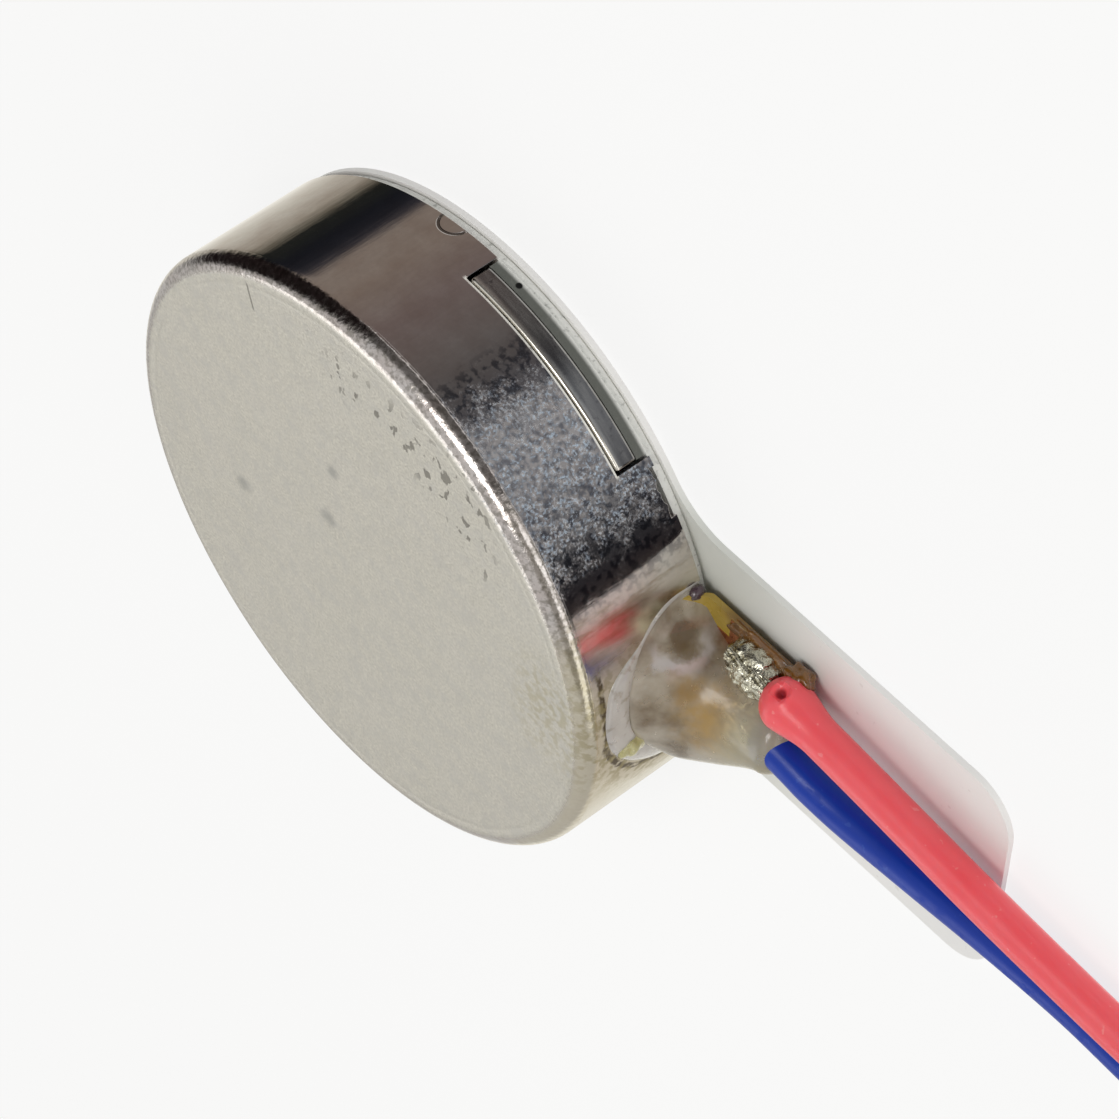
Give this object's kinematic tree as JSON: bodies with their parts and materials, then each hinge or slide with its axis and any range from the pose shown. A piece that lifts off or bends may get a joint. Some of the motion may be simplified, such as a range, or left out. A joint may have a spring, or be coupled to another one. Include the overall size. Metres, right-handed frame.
{
  "type": "vibration coin motor",
  "caption": "Flat round vibration motor with an eccentric rotor in a drawn steel can, two soldered leads, and an adhesive pad with its release liner.",
  "frame": {"origin": "on the shaft axis, at the underside of the release liner", "axes": "+Z along the shaft towards the closed face, +X towards the pull tab and the leads"},
  "size_m": [0.0499, 0.01, 0.0027],
  "materials": {
    "nickel_case": "satin nickel plate, polished side",
    "bracket_steel": "plain nickel plate",
    "shaft_steel": "ground and polished",
    "magnet": "nickel-plated sintered magnet",
    "polyimide": "amber polyimide film",
    "copper": "copper foil and wire",
    "brush_metal": "gold-flashed spring leaf",
    "solder": "bright tinned solder",
    "washer_plastic": "polyester film",
    "bearing_bronze": "oil-filled sintered bronze",
    "board": "glass-epoxy board",
    "tungsten": "sintered tungsten alloy",
    "moulding": "moulded black polymer",
    "resin": "milky clear resin",
    "red_insulation": "soft vinyl, slight sheen",
    "blue_insulation": "soft vinyl, slight sheen",
    "foam_pad": "white acrylic foam tape",
    "liner_paper": "white silicone release film"
  },
  "bodies": {
    "stator": {"case": "nickel_case", "bracket_plate": "bracket_steel", "shaft": "shaft_steel", "ring_magnet": "magnet", "flex_circuit": "polyimide", "copper_track_positive": "copper", "copper_track_negative": "copper", "brush_positive": "brush_metal", "brush_negative": "brush_metal", "brush_solder_joints": "solder", "lower_washer": "washer_plastic", "upper_washer": "washer_plastic", "solder_red": "solder", "solder_blue": "solder", "conductor_end_red": "solder", "conductor_end_blue": "solder", "seal_resin": "resin", "lead_red": "red_insulation", "lead_blue": "blue_insulation", "lead_tip_red": "solder", "lead_tip_blue": "solder", "adhesive_pad": "foam_pad"},
    "rotor": {"bearing": "bearing_bronze", "rotor_board": "board", "commutator_segments": "brush_metal", "coil_a": "copper", "coil_b": "copper", "counterweight": "tungsten", "rotor_moulding": "moulding", "coil_solder_joints": "solder"},
    "liner": {"release_liner": "liner_paper"}
  },
  "joints": [
    {"name": "rotor_spin", "type": "hinge", "parent": "stator", "child": "rotor", "pos_m": [0, 0, 0.0014], "axis": [0, 0, 1], "continuous": true},
    {"name": "liner_peel", "type": "slide", "parent": "stator", "child": "liner", "axis": [-1, 0, 0], "range_m": [0, 0.016]}
  ]
}
